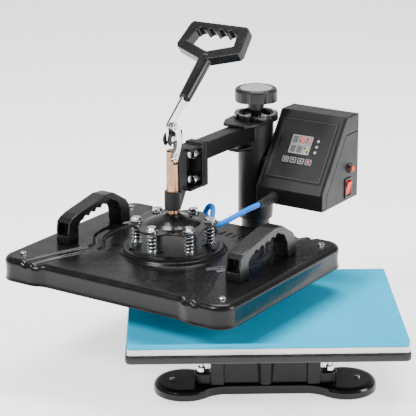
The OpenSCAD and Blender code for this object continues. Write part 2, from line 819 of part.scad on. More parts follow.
module handle() {
  handle_w = 24;
  difference() {
    rotate([90, 0, 90]) linear_extrude(handle_w, center = true) handle_side();
    // hollow front of the leg
    translate([-handle_w / 2 + 3, -90, 13]) cube([handle_w - 6, 37, 19]);
    translate([-handle_w / 2 + 4, 71, 10]) cube([handle_w - 8, 30, 13]);
    for (y = handle_screw_y) translate([0, y, -1]) cylinder(r = 2.5, h = 14);
  }
}

module handle_left() color(black) at_plunger() translate([-handle_u, 0, cover_top]) handle();

module handle_right() color(black) at_plunger() translate([handle_u, 0, cover_top]) handle();

module handle_screws() {
  color(steel) at_plunger() for (sx = [-1, 1], y = handle_screw_y)
    translate([sx * handle_u, y, cover_top - cover_wall]) union() {
      cylinder(r = 2.5, h = cover_wall + 12);
      mirror([0, 0, 1]) pan_head(4.5, 2.6);
    }
}

module cable_grommet() {
  color([0.04, 0.04, 0.04]) at_plunger() translate([entry_x, entry_y + reach, 0]) difference() {
    union() {
      translate([0, 0, cover_top - cover_wall]) cylinder(r = 7, h = cover_wall);
      translate([0, 0, cover_top]) cylinder(r1 = 10, r2 = 7, h = 6);
    }
    translate([0, 0, cover_top - 10]) cylinder(r = cable_r + 0.3, h = 40);
  }
}

// ---- Control box ----

// Side outline of the box, drawn in by d: x back, y up
function slope_sin() = sin(slope_angle);
function slope_cos() = cos(slope_angle);
function box_profile(d) = [
  [box_back - d, box_z0 + d],
  [slope_y0 + d, box_z0 + d],
  [slope_y0 + d, slope_z0 - d * (1 - slope_sin()) / slope_cos()],
  [slope_y1 + d * (1 - slope_cos()) / slope_sin(), slope_z1 - d],
  [box_back - d, slope_z1 - d]];

// Side outline of the back shell's share of the box
function back_profile() = [
  [box_back + 1, box_z0 - 1],
  [slope_y0 + wall, box_z0 - 1],
  [slope_y0 + wall, box_z0 + wall],
  [slope_y0 + lip, box_z0 + wall],
  [slope_y0 + lip, slope_z0 - lip * (1 - slope_sin()) / slope_cos()],
  [slope_y1 + lip * (1 - slope_cos()) / slope_sin() - (skirt - lip) * slope_cos() / slope_sin(),
    slope_z1 - skirt],
  [box_back + 1, slope_z1 - skirt]];

// Upright slab of the box from x0 to x1 with the given side outline
module box_slab(x0, x1, outline) {
  in_head() translate([x0, 0, 0]) rotate([90, 0, 90]) linear_extrude(x1 - x0) polygon(outline);
}

module box_shell() {
  difference() {
    box_slab(box_x0, box_x1, box_profile(0));
    box_slab(box_x0 + wall, box_x1 - wall, box_profile(wall));
  }
}

// Front, slope and top in one moulding with a raised edge along each side
module case_front() {
  color(dark) difference() {
    union() {
      difference() {
        box_shell();
        box_slab(box_x0 - 1, box_x1 + 1, back_profile());
      }
      for (x = [0, box_x1 - box_x0 - 2.5]) on_slope() translate([x, 1, -1]) cube([2.5, slope_len - 2, 2]);
    }
    // label recess
    on_slope() translate([label_x, label_y, -label_t]) cube([label_w, label_h, 5]);
    // groove under the label
    on_slope() translate([label_x, label_y - 1, -1.2]) cube([label_w, 1, 5]);
    for (c = window_c) on_slope() translate([c[0] - window_w / 2, c[1] - window_h / 2, -10])
      cube([window_w, window_h, 20]);
    for (c = key_c) on_slope() translate([c[0] - key_w / 2 - 0.3, c[1] - key_h / 2 - 0.3, -10])
      cube([key_w + 0.6, key_h + 0.6, 20]);
    for (c = lamp_c) on_slope() translate([c[0], c[1], -10]) cylinder(r = 1.6, h = 20);
    // gland hole
    in_head() translate([gland_x, slope_y0 - 1, gland_z]) rotate([-90, 0, 0]) cylinder(r = 5.5, h = 8);
  }
}

// Back, sides and floor in one moulding
module case_back() {
  color(dark) difference() {
    intersection() {
      box_shell();
      box_slab(box_x0 - 1, box_x1 + 1, back_profile());
    }
    // reset button and rocker openings
    in_head() translate([box_x1 - 10, reset_c[0], reset_c[1]]) rotate([0, 90, 0]) cylinder(r = 6, h = 20);
    in_head() translate([box_x1 - 10, rocker_c[0] - 8, rocker_c[1] - 13.5]) cube([20, 16, 27]);
    // inlet opening
    in_head() translate([84, box_back - 10, 214]) cube([28, 20, 21]);
    // bracket screw holes
    in_head() for (z = bracket_z) translate([box_x0 - 1, 0, z]) rotate([0, 90, 0])
      cylinder(r = stud_r, h = 8);
    // floor screw holes
    in_head() for (x = [40, 129], y = [-20, 50]) translate([x, y, box_z0 - 1]) cylinder(r = 1.6, h = 8);
    // vent slots in the back
    in_head() for (i = [0:5]) translate([46 + 9 * i, box_back - 10, 268]) cube([4, 20, 26]);
  }
}

// Backing plate inside the box, with two welded studs that go through its side into the boss
module box_bracket() {
  color(steel) in_head() union() {
    translate([box_x0 + wall, -12, 224]) cube([2, 24, 38]);
    for (z = bracket_z) translate([24.2, 0, z]) rotate([0, 90, 0]) cylinder(r = stud_r, h = 8);
  }
}

module panel_label() {
  color([0.1, 0.1, 0.11]) on_slope() translate([0, 0, -label_t]) difference() {
    translate([label_x, label_y, 0]) cube([label_w, label_h, label_t]);
    for (c = window_c) translate([c[0] - window_w / 2, c[1] - window_h / 2, -1])
      cube([window_w, window_h, 5]);
    for (c = key_c) translate([c[0] - key_w / 2 - 0.3, c[1] - key_h / 2 - 0.3, -1])
      cube([key_w + 0.6, key_h + 0.6, 5]);
    for (c = lamp_c) translate([c[0], c[1], -1]) cylinder(r = 1.6, h = 5);
  }
}

module display_windows() {
  color([0.5, 0.5, 0.5]) on_slope() for (c = window_c)
    translate([c[0] - window_w / 2, c[1] - window_h / 2, -6]) cube([window_w, window_h, 6.2]);
}

module indicator_leds() {
  color([0.8, 0.8, 0.8]) on_slope() for (c = lamp_c) translate([c[0], c[1], 0]) union() {
    translate([0, 0, -6]) cylinder(r = 1.5, h = 6);
    sphere(r = 1.5);
  }
}

module panel_key(i) {
  color([0.6, 0.6, 0.62]) on_slope() translate([key_c[i][0], key_c[i][1], 0]) union() {
    translate([-key_w / 2, -key_h / 2, -3]) cube([key_w, key_h, 3 + key_rise]);
    translate([0, 0, -5]) cylinder(r = 2, h = 3);
  }
}

module key_set() panel_key(0);

module key_down() panel_key(1);

module key_up() panel_key(2);

module key_stop() panel_key(3);

// Right side axes: x out of the side, centre at the given point
module on_side(c) in_head() translate([box_x1, c[0], c[1]]) children();

module rocker_frame() {
  color(black) on_side(rocker_c) difference() {
    union() {
      translate([0, -9.5, -15]) cube([1.8, 19, 30]);
      translate([-16, -8, -13.5]) cube([17, 16, 27]);
    }
    translate([-12, -rocker_w / 2 - 0.4, -rocker_len / 2 - 0.4]) cube([20, rocker_w + 0.8, rocker_len + 0.8]);
    // sockets of the rocker's pivot
    translate([pivot_x, 0, 0]) rotate([90, 0, 0])
      cylinder(r = pivot_r + run, h = rocker_w + 2.4, center = true);
  }
}

// Rocker with two faces that meet in a shallow vee
module power_rocker() {
  color([0.9, 0.12, 0.05]) on_side(rocker_c) rotate([90, 0, 0]) union() {
    linear_extrude(rocker_w, center = true) polygon([[-5, 8], [-5, -8], [0.4, -rocker_len / 2 + 0.6],
      [1.6, -2], [4.4, rocker_len / 2 - 2], [1, rocker_len / 2 - 0.9]]);
    // pivot pins
    translate([pivot_x, 0, 0]) cylinder(r = pivot_r, h = rocker_w + 2, center = true);
  }
}

module reset_bezel() {
  color(black) on_side(reset_c) rotate([0, 90, 0]) difference() {
    union() {
      translate([0, 0, -12]) cylinder(r = 6, h = 12);
      cylinder(r1 = 8, r2 = 6.4, h = 4);
    }
    translate([0, 0, -8]) cylinder(r = reset_r + 0.3, h = 30);
  }
}

module reset_button() {
  color([0.95, 0.3, 0.08]) on_side(reset_c) rotate([0, 90, 0]) union() {
    translate([0, 0, -5]) cylinder(r = reset_r, h = 11);
    translate([0, 0, 6]) cylinder(r1 = reset_r, r2 = reset_r - 1, h = 1);
  }
}

// Three-pin appliance inlet
module mains_inlet() {
  color(black) in_head() translate([98, box_back, 224.5]) union() {
    difference() {
      union() {
        translate([-14, -18, -10.5]) cube([28, 19, 21]);
        translate([-20, 0, -13]) cube([40, 2, 26]);
      }
      translate([-12, -14, -8]) cube([24, 20, 16]);
      for (x = [-17, 17]) translate([x, -1, 0]) rotate([-90, 0, 0]) cylinder(r = 1.6, h = 5);
    }
    // pins
    for (p = [[-7, -2], [0, 2], [7, -2]]) translate([p[0] - 1, -16, p[1] - 2]) cube([2, 11, 4]);
  }
}

// Circuit board behind the slope, with its relay and capacitor
module control_board() {
  color([0.1, 0.35, 0.15]) on_slope() translate([0, 0, -9]) union() {
    translate([12, 22, -1.6]) cube([84, 86, 1.6]);
    translate([20, 74, -12]) cube([20, 26, 11]);
    translate([70, 86, -12]) cylinder(r = 6, h = 11);
    translate([52, 30, -10]) cube([26, 18, 9]);
  }
}

// Ribbed strain relief that tapers towards the cable
module strain_relief() {
  ribs = 6;
  color(black) in_head() translate([gland_x, slope_y0, gland_z]) rotate([90, 0, 0]) difference() {
    union() {
      translate([0, 0, -wall - 3]) cylinder(r = 5.5, h = wall + 4);
      translate([0, 0, -wall - 3]) cylinder(r = 7, h = 3);
      cylinder(r = 9, h = 4);
      translate([0, 0, 4]) cylinder(r1 = 6.6, r2 = 5.2, h = 39);
      for (i = [0:ribs - 1]) translate([0, 0, 8 + 6 * i]) cylinder(r = 7.8 - 0.35 * i, h = 2.6);
    }
    translate([0, 0, -10]) cylinder(r = cable_r + 0.1, h = 60);
  }
}

// ---- Heater cable ----

function catmull(a, b, c, d, t) = 0.5 * (2 * b + (c - a) * t + (2 * a - 5 * b + 4 * c - d) * t * t
  + (3 * b - a - 3 * c + d) * t * t * t);
function path_at(i) = cable_path[max(0, min(len(cable_path) - 1, i))];
cable_points = [for (i = [0:len(cable_path) - 2], k = [0:cable_steps - 1])
  catmull(path_at(i - 1), path_at(i), path_at(i + 1), path_at(i + 2), k / cable_steps),
  cable_path[len(cable_path) - 1]];
function unit(v) = v / norm(v);
function cable_dir(i) = unit(cable_points[min(i + 1, len(cable_points) - 1)] - cable_points[max(i - 1, 0)]);
// A side vector that never lies along the route
side_ref = unit([0.8, -0.6, 0.1]);

module tube(points, r, sides) {
  n = len(points);
  ring = [for (i = [0:n - 1]) let (d = cable_dir(i), a = unit(cross(d, side_ref)), b = cross(d, a))
    for (k = [0:sides - 1]) points[i] + r * (cos(360 * k / sides) * a + sin(360 * k / sides) * b)];
  faces = concat(
    [[for (k = [0:sides - 1]) sides - 1 - k]],
    [[for (k = [0:sides - 1]) (n - 1) * sides + k]],
    [for (i = [0:n - 2], k = [0:sides - 1]) [i * sides + k, i * sides + (k + 1) % sides,
      (i + 1) * sides + (k + 1) % sides, (i + 1) * sides + k]]);
  polyhedron(ring, faces, convexity = 6);
}

module heater_cable() color([0, 0.45, 0.95]) in_head() tube(cable_points, cable_r, 10);

front_foot();
rear_foot();
base_spine();
rubber_feet();
foot_screws();
spine_bolts();
column_post();
platen_holder();
holder_studs();
wing_nut_left();
wing_nut_right();
lower_platen();
felt_pad();
silicone_pad();
column_bushes();
head_casting();
cap_plate();
lock_ring();
pressure_knob();
knob_cap();
knob_spindle();
toggle_frame();
bracket_bolts();
guide_bush();
lever_pin();
lever_bar();
lever_grip();
link_plate();
link_rivets();
plunger_rod();
pressure_spider();
springs();
spring_bolts();
pressure_disc();
platen_cover();
cover_screws();
insulation_mat();
heating_plate();
handle_left();
handle_right();
handle_screws();
cable_grommet();
heater_cable();
case_front();
case_back();
box_bracket();
panel_label();
display_windows();
indicator_leds();
key_set();
key_down();
key_up();
key_stop();
rocker_frame();
power_rocker();
reset_bezel();
reset_button();
mains_inlet();
control_board();
strain_relief();
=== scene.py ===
"""Looks of a swing-away heat press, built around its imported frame."""
import json
import math

import bmesh
import bpy
import numpy as np
from mathutils import Matrix, Vector, noise


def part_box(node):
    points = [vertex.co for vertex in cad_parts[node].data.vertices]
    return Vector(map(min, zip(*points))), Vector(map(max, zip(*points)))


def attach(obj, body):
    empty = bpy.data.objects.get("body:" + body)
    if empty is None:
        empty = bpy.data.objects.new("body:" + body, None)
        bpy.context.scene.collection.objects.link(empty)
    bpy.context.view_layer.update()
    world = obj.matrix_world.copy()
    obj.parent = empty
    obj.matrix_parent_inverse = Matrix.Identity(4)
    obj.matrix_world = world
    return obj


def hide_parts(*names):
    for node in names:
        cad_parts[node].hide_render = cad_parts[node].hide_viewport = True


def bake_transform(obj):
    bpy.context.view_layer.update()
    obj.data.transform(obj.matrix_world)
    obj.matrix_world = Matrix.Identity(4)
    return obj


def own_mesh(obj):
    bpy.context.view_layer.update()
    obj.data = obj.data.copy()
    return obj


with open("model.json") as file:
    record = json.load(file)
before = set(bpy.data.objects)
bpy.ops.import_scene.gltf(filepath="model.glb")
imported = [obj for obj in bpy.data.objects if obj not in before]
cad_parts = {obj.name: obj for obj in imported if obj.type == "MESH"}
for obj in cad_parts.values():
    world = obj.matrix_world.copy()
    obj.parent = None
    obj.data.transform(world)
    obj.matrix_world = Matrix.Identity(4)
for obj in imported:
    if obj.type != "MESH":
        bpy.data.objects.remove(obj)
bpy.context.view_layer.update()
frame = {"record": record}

# ---- Axes of the swung head ----
SWING = math.radians(-34.7)
REACH = 0.222
HEAD = Matrix.Rotation(SWING, 4, "Z")
PLUNGER = HEAD @ Matrix.Translation((0, -REACH, 0))


def head(u, v, z):
    """Point given in the head's axes, in millimetres."""
    return HEAD @ Vector((u, v, z)) * 0.001


# ---- Camera ----
# Yaw, pitch and roll in radians, place in metres, lens and sensor in millimetres
CAMERA_TURN = (0.0198, 0.3067, -0.0047)
CAMERA_AT = (-0.1203, -2.3889, 0.9327)
LENS = 141.5
SENSOR = 36


def make_camera():
    yaw, pitch, roll = CAMERA_TURN
    fwd = Vector((math.sin(yaw) * math.cos(pitch), math.cos(yaw) * math.cos(pitch), -math.sin(pitch)))
    right = Vector((math.cos(yaw), -math.sin(yaw), 0))
    up = right.cross(fwd)
    r2 = math.cos(roll) * right + math.sin(roll) * up
    u2 = -math.sin(roll) * right + math.cos(roll) * up
    m = Matrix((r2, u2, -fwd)).transposed().to_4x4()
    m.translation = CAMERA_AT
    data = bpy.data.cameras.new("camera")
    data.lens = LENS
    data.sensor_width = SENSOR
    data.clip_end = 50
    cam = bpy.data.objects.new("camera", data)
    cam.matrix_world = m
    bpy.context.collection.objects.link(cam)
    bpy.context.scene.camera = cam


make_camera()


# ---- Material kit ----
class Nodes:
    """Small helper that adds and links shader nodes of one material."""

    def __init__(self, name):
        self.mat = bpy.data.materials.new(name)
        self.mat.use_nodes = True
        self.tree = self.mat.node_tree
        self.bsdf = self.tree.nodes["Principled BSDF"]
        self.coords = self.add("ShaderNodeTexCoord").outputs["Object"]

    def add(self, kind, **inputs):
        n = self.tree.nodes.new(kind)
        for key, value in inputs.items():
            self.put(n.inputs[key], value)
        return n

    def put(self, socket, value):
        if isinstance(value, bpy.types.NodeSocket):
            self.tree.links.new(value, socket)
        else:
            socket.default_value = value

    def noise(self, scale, detail=3.0, rough=0.55, stretch=None):
        vector = self.coords
        if stretch:
            m = self.add("ShaderNodeMapping", Vector=self.coords)
            m.inputs["Scale"].default_value = stretch
            vector = m.outputs[0]
        n = self.add("ShaderNodeTexNoise", Vector=vector, Scale=scale, Detail=detail,
                     Roughness=rough)
        return n.outputs["Fac"]

    def voronoi(self, scale):
        n = self.add("ShaderNodeTexVoronoi", Vector=self.coords, Scale=scale, Randomness=1.0)
        return n.outputs["Distance"]

    def ramp(self, fac, low, high, at=(0.3, 0.7)):
        """Colour or grey from low to high as fac goes between the two places."""
        n = self.add("ShaderNodeValToRGB", Fac=fac)
        e = n.color_ramp.elements
        e[0].position, e[1].position = at
        e[0].color = low if hasattr(low, "__len__") else (low, low, low, 1)
        e[1].color = high if hasattr(high, "__len__") else (high, high, high, 1)
        return n.outputs["Color"]

    def range(self, fac, low, high, at=(0.0, 1.0)):
        n = self.add("ShaderNodeMapRange", Value=fac)
        for key, value in (("From Min", at[0]), ("From Max", at[1]), ("To Min", low), ("To Max", high)):
            n.inputs[key].default_value = value
        return n.outputs[0]

    def math(self, op, a, b=0.0):
        n = self.add("ShaderNodeMath")
        n.operation = op
        self.put(n.inputs[0], a)
        self.put(n.inputs[1], b)
        return n.outputs[0]

    def mix(self, fac, a, b):
        n = self.add("ShaderNodeMix")
        n.data_type = "RGBA"
        self.put(n.inputs[0], fac)
        self.put(n.inputs[6], a)
        self.put(n.inputs[7], b)
        return n.outputs[2]

    def bump(self, height, strength, distance, base=None):
        n = self.add("ShaderNodeBump", Height=height)
        n.inputs["Strength"].default_value = strength
        n.inputs["Distance"].default_value = distance
        if base is not None:
            self.put(n.inputs["Normal"], base)
        return n.outputs[0]

    def wear(self):
        """Share of edge wear: raised edges, broken up by noise."""
        edge = self.range(self.add("ShaderNodeNewGeometry").outputs["Pointiness"], 0, 1, (0.52, 0.6))
        return self.math("MULTIPLY", edge, self.range(self.noise(160, 4), 0, 1, (0.45, 0.62)))

    def finish(self, color, rough, metallic=0.0, normal=None, **sockets):
        self.put(self.bsdf.inputs["Base Color"], color)
        self.put(self.bsdf.inputs["Roughness"], rough)
        self.bsdf.inputs["Metallic"].default_value = metallic
        if normal is not None:
            self.put(self.bsdf.inputs["Normal"], normal)
        for key, value in sockets.items():
            self.bsdf.inputs[key.replace("_", " ")].default_value = value
        return self.mat


def grey(v, warm=0.0):
    return (v * (1 + warm), v, v * (1 - warm), 1)


def coat(name, tone, rough, grain=900, depth=0.00006, coat_weight=0.0, wear=0.0, spread=0.25, level=0.4):
    """Black powder coat or paint: orange peel, dusty variation and a little edge wear."""
    n = Nodes(name)
    dust = n.noise(14, 5)
    color = n.ramp(dust, grey(tone * (1 - spread)), grey(tone * (1 + spread)))
    if wear:
        color = n.mix(n.math("MULTIPLY", n.wear(), wear), color, grey(0.32))
    peel = n.noise(grain, 2)
    r = n.range(n.noise(45, 4), rough - 0.05, rough + 0.07, (0.3, 0.7))
    return n.finish(color, r, 0.0, n.bump(peel, 0.55, depth), Coat_Weight=coat_weight, Coat_Roughness=0.12,
                    Specular_IOR_Level=level)


def moulded(name, tone, rough, grain=1600, depth=0.00005, color=None, spread=0.18, level=0.5):
    """Moulded plastic with a fine spark-eroded texture."""
    n = Nodes(name)
    base = color or grey(tone)
    low = tuple(c * (1 - spread) for c in base[:3]) + (1,)
    high = tuple(min(1, c * (1 + spread)) for c in base[:3]) + (1,)
    cells = n.voronoi(grain)
    r = n.range(n.noise(60, 3), rough - 0.04, rough + 0.06, (0.3, 0.7))
    return n.finish(n.ramp(n.noise(22, 4), low, high), r, 0.0, n.bump(cells, 0.4, depth),
                    Specular_IOR_Level=level)


def metal(name, color, rough, lines=0.0, stretch=(1, 1, 1), spread=0.1, tarnish=0.25):
    """Bare or plated metal with fine marks and slightly uneven polish."""
    n = Nodes(name)
    low = tuple(c * (1 - tarnish) for c in color) + (1,)
    high = tuple(min(1, c * (1 + spread)) for c in color) + (1,)
    marks = n.noise(420, 6, 0.7, stretch=stretch)
    r = n.range(marks, max(0.04, rough - 0.06), rough + 0.1, (0.35, 0.7))
    normal = n.bump(marks, 0.25 + lines, 0.00003)
    return n.finish(n.ramp(n.noise(90, 5), low, high), r, 1.0, normal)


def bolt_zinc_painted_shade(name, low, high):
    """Zinc plate with a painted shade band between two heights, where the springs hide it."""
    n = Nodes(name)
    z = n.add("ShaderNodeSeparateXYZ", Vector=n.coords).outputs["Z"]
    above = n.range(z, 0, 1, (low, low + 0.0005))
    below = n.range(z, 1, 0, (high - 0.0005, high))
    inside = n.math("MULTIPLY", above, below)
    marks = n.noise(420, 6, 0.7)
    bright = n.ramp(n.noise(90, 5), (0.6, 0.62, 0.65, 1), (0.88, 0.9, 0.92, 1))
    # Painted shade: the bolt turns dark where the spring coils surround it
    color = n.mix(inside, bright, (0.10, 0.10, 0.105, 1))
    rough = n.range(marks, 0.14, 0.3, (0.35, 0.7))
    return n.finish(color, rough, 1.0, n.bump(marks, 0.3, 0.00003))


def rubber(name, tone, rough=0.75, grain=700, depth=0.00012, color=None, level=0.3):
    n = Nodes(name)
    base = color or grey(tone)
    high = tuple(min(1, c * 1.35 + 0.01) for c in base[:3]) + (1,)
    return n.finish(n.ramp(n.noise(60, 5), base, high), n.range(n.noise(80), rough - 0.08, rough + 0.08),
                    0.0, n.bump(n.noise(grain, 3), 0.5, depth), Specular_IOR_Level=level)


def foam(name, color, shade, cell, depth, level):
    """Silicone foam: closed cells, a satin skin and soft blotches of colour."""
    n = Nodes(name)
    blotch = n.noise(9, 4)
    fine = n.noise(700, 4)
    tint = n.mix(n.range(fine, 0, 0.35), n.ramp(blotch, shade, color), color)
    cells = n.voronoi(cell)
    skin = n.bump(n.noise(cell * 0.35, 5), 0.45, depth * 1.6)
    r = n.range(n.noise(120, 3), 0.5, 0.66, (0.3, 0.7))
    return n.finish(tint, r, 0.0, n.bump(cells, 0.5, depth, skin), Specular_IOR_Level=level)


def glow(name, color, power):
    n = Nodes(name)
    flicker = n.range(n.noise(400, 2), 0.85, 1.0)
    n.put(n.bsdf.inputs["Base Color"], n.mix(flicker, (0, 0, 0, 1), color))
    n.bsdf.inputs["Roughness"].default_value = 0.4
    n.bsdf.inputs["Emission Color"].default_value = color
    n.bsdf.inputs["Emission Strength"].default_value = power
    return n.mat


# ---- Materials, one or more for each finish ----
MAT = {
    "cast": coat("cast_iron_black", 0.006, 0.34, 620, 0.00010, wear=0.15, level=0.28),
    "feet": coat("foot_enamel", 0.005, 0.2, 380, 0.00007, coat_weight=0.15, wear=0.08, level=0.3),
    "tube": coat("tube_powder_coat", 0.008, 0.36, 900, 0.00006, wear=0.1, level=0.3),
    "cover": coat("cover_paint", 0.006, 0.25, 1100, 0.000012, spread=0.14, level=0.26),
    "disc": coat("disc_paint", 0.011, 0.3, 900, 0.00002, level=0.3),
    "spider": coat("spider_enamel", 0.005, 0.2, 800, 0.00002, coat_weight=0.1, level=0.35),
    "gloss_edge": coat("ring_paint", 0.009, 0.18, 700, 0.00004, coat_weight=0.4, wear=0.3),
    "platen": coat("platen_paint", 0.008, 0.36, 800, 0.00007, wear=0.25),
    "zinc": metal("zinc_plate", (0.78, 0.80, 0.83), 0.2, 0.1),
    "bolt": bolt_zinc_painted_shade("zinc_bolt_painted_shade", 0.1842, 0.2105),
    "steel": metal("bright_steel", (0.84, 0.86, 0.88), 0.13, 0.1, (1, 1, 0.15), tarnish=0.12),
    "spring": metal("spring_steel", (0.80, 0.84, 0.88), 0.17, 0.05),
    "copper": metal("copper_plate", (0.44, 0.25, 0.15), 0.18, 0.2, (1, 1, 6), spread=0.1, tarnish=0.25),
    "bronze": metal("sintered_bronze", (0.62, 0.43, 0.25), 0.42, 0.3),
    "heater": metal("coated_aluminium", (0.20, 0.20, 0.21), 0.4, 0.15, tarnish=0.35),
    "handle": moulded("handle_plastic", 0.010, 0.25, 1300, 0.00005, level=0.4),
    "knob": moulded("knob_plastic", 0.014, 0.28, 1500, 0.00005, level=0.4),
    "case": moulded("case_plastic", 0.007, 0.36, 1500, 0.00003, spread=0.12, level=0.3),
    "case_dark": moulded("socket_plastic", 0.015, 0.36, 1500, 0.00004),
    "label": moulded("label_film", 0.009, 0.34, 2600, 0.00002, spread=0.08, level=0.24),
    "grey_disc": moulded("grey_disc", 0.40, 0.42, 900, 0.00004, grey(0.36), 0.1),
    "key": moulded("key_plastic", 0.5, 0.36, 1800, 0.00002, grey(0.32, -0.04), 0.1),
    "red": moulded("red_rocker", 0.5, 0.24, 1500, 0.00002, (0.86, 0.010, 0.003, 1), 0.12, 0.15),
    "orange": moulded("orange_button", 0.5, 0.26, 1500, 0.00002, (0.90, 0.10, 0.01, 1), 0.12, 0.2),
    "glass": moulded("display_glass", 0.12, 0.22, 1800, 0.00001, grey(0.16, -0.03), 0.06, 0.5),
    "lens": moulded("lamp_lens", 0.6, 0.18, 1800, 0.00001, grey(0.55), 0.08, 0.6),
    "print": moulded("printed_line", 0.09, 0.4, 2600, 0.00001, grey(0.075)),
    "print_light": moulded("printed_light_line", 0.4, 0.4, 2600, 0.00001, grey(0.42, -0.03)),
    "key_dark": moulded("key_face", 0.02, 0.35, 2600, 0.00001, grey(0.02)),
    "segment_off": moulded("unlit_segment", 0.03, 0.3, 2600, 0.00001, grey(0.035)),
    "segment_red": glow("lit_segment_red", (1.0, 0.05, 0.02, 1), 1.6),
    "segment_green": glow("lit_segment_green", (0.55, 0.75, 0.02, 1), 1.3),
    "board": moulded("circuit_board", 0.1, 0.4, 900, 0.00003, (0.02, 0.12, 0.05, 1), 0.3),
    "mat": rubber("glass_mat", 0.5, 0.9, 300, 0.0003, (0.55, 0.51, 0.38, 1)),
    "rubber": rubber("black_rubber", 0.012),
    "boot": rubber("strain_relief_rubber", 0.016, 0.5),
    "sleeve": rubber("blue_sleeve", 0.3, 0.36, 900, 0.00003, (0.0, 0.19, 0.80, 1), 0.05),
    "cyan": foam("cyan_silicone", (0.0, 0.50, 0.78, 1), (0.0, 0.44, 0.71, 1), 520, 0.00012, 0.03),
    "cream": foam("cream_sponge", (0.93, 0.92, 0.86, 1), (0.84, 0.83, 0.76, 1), 420, 0.00018, 0.15),
}

# Finish of each CAD node, whether or not a piece replaces it
FINISH = {
    "cast": ("platen_holder", "head_casting", "cap_plate", "toggle_frame"),
    "feet": ("front_foot", "rear_foot"),
    "tube": ("base_spine", "column_post"),
    "gloss_edge": ("lock_ring", "knob_spindle"),
    "platen": ("lower_platen",),
    "cover": ("platen_cover",),
    "disc": ("pressure_disc",),
    "spider": ("pressure_spider",),
    "zinc": ("foot_screws", "spine_bolts", "holder_studs", "wing_nut_left", "wing_nut_right", "bracket_bolts",
             "lever_pin", "link_rivets", "cover_screws", "handle_screws", "box_bracket", "spring_bolts"),
    "steel": ("lever_bar", "link_plate"),
    "spring": ("springs",),
    "copper": ("plunger_rod",),
    "bronze": ("column_bushes", "guide_bush"),
    "heater": ("heating_plate",),
    "handle": ("handle_left", "handle_right", "lever_grip"),
    "knob": ("pressure_knob",),
    "case": ("case_front", "case_back"),
    "case_dark": ("rocker_frame", "reset_bezel", "mains_inlet"),
    "label": ("panel_label",),
    "grey_disc": ("knob_cap",),
    "key": ("key_set", "key_down", "key_up", "key_stop"),
    "red": ("power_rocker",),
    "orange": ("reset_button",),
    "glass": ("display_windows",),
    "lens": ("indicator_leds",),
    "board": ("control_board",),
    "mat": ("insulation_mat",),
    "rubber": ("rubber_feet", "cable_grommet"),
    "boot": ("strain_relief",),
    "sleeve": ("heater_cable",),
    "cyan": ("silicone_pad",),
    "cream": ("felt_pad",),
}
for finish, names in FINISH.items():
    for name in names:
        node = bpy.data.objects[name]
        node.data.materials.clear()
        node.data.materials.append(MAT[finish])


# ---- Pieces that ride on the frame ----
RECORD = frame["record"]
BODY_OF = {n: body for body, names in RECORD["behaviour"]["bodies"].items() for n in names}
MM = 0.001


def to_mesh(name, bm, smooth=True):
    bmesh.ops.recalc_face_normals(bm, faces=bm.faces)
    me = bpy.data.meshes.new(name)
    bm.to_mesh(me)
    bm.free()
    for p in me.polygons:
        p.use_smooth = smooth
    return me


def piece(name, me, mat, like, replaces=False):
    """New piece that takes its body from the CAD node it is like, and the given finish."""
    o = bpy.data.objects.new(name, me)
    bpy.context.collection.objects.link(o)
    me.materials.clear()
    me.materials.append(MAT[mat])
    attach(o, BODY_OF[like])
    if replaces:
        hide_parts(like)
    return o


def bake(me, *modifiers):
    """Mesh after the given modifiers: (kind, settings) each."""
    o = bpy.data.objects.new("work", me)
    bpy.context.collection.objects.link(o)
    for i, (kind, settings) in enumerate(modifiers):
        m = o.modifiers.new("m%d" % i, kind)
        for key, value in settings.items():
            setattr(m, key, value)
    result = bpy.data.meshes.new_from_object(o.evaluated_get(bpy.context.evaluated_depsgraph_get()))
    bpy.data.objects.remove(o)
    return result


def cad_copy(node, flat=0.0):
    """Welded copy of a CAD node's mesh, with its flat faces joined."""
    bm = bmesh.new()
    bm.from_mesh(bpy.data.objects[node].data)
    bmesh.ops.remove_doubles(bm, verts=bm.verts, dist=2e-6)
    if flat:
        bmesh.ops.dissolve_limit(bm, angle_limit=math.radians(flat), verts=bm.verts, edges=bm.edges)
    me = to_mesh(node + "_mesh", bm)
    normals = me.attributes.get("custom_normal")
    if normals:
        me.attributes.remove(normals)
    return me


def cast(node, name, mat, voxel=1.0, rounds=6):
    """Cast or moulded piece: the CAD shape with every edge and inside corner softened."""
    me = bake(cad_copy(node),
              ("REMESH", {"mode": "VOXEL", "voxel_size": voxel * MM, "use_smooth_shade": True}),
              ("SMOOTH", {"iterations": rounds, "factor": 0.5}))
    return piece(name, me, mat, node, True)


def trimmed(node, name, mat, width):
    """Machined or pressed piece: the CAD shape with its sharp edges broken."""
    me = bake(cad_copy(node, 0.5),
              ("BEVEL", {"width": width * MM, "segments": 2, "limit_method": "ANGLE",
                         "angle_limit": math.radians(32), "harden_normals": True,
                         "use_clamp_overlap": True, "miter_outer": "MITER_ARC"}),
              ("WEIGHTED_NORMAL", {"keep_sharp": True}))
    return piece(name, me, mat, node, True)


def loft(bm, rings, close=True):
    """Skin over rings of points; the first and the last ring are capped when close is set."""
    rows = [[bm.verts.new(p) for p in ring] for ring in rings]
    n = len(rows[0])
    for a, b in zip(rows, rows[1:]):
        for i in range(n):
            bm.faces.new((a[i], a[(i + 1) % n], b[(i + 1) % n], b[i]))
    if close:
        bm.faces.new(rows[0][::-1])
        bm.faces.new(rows[-1])


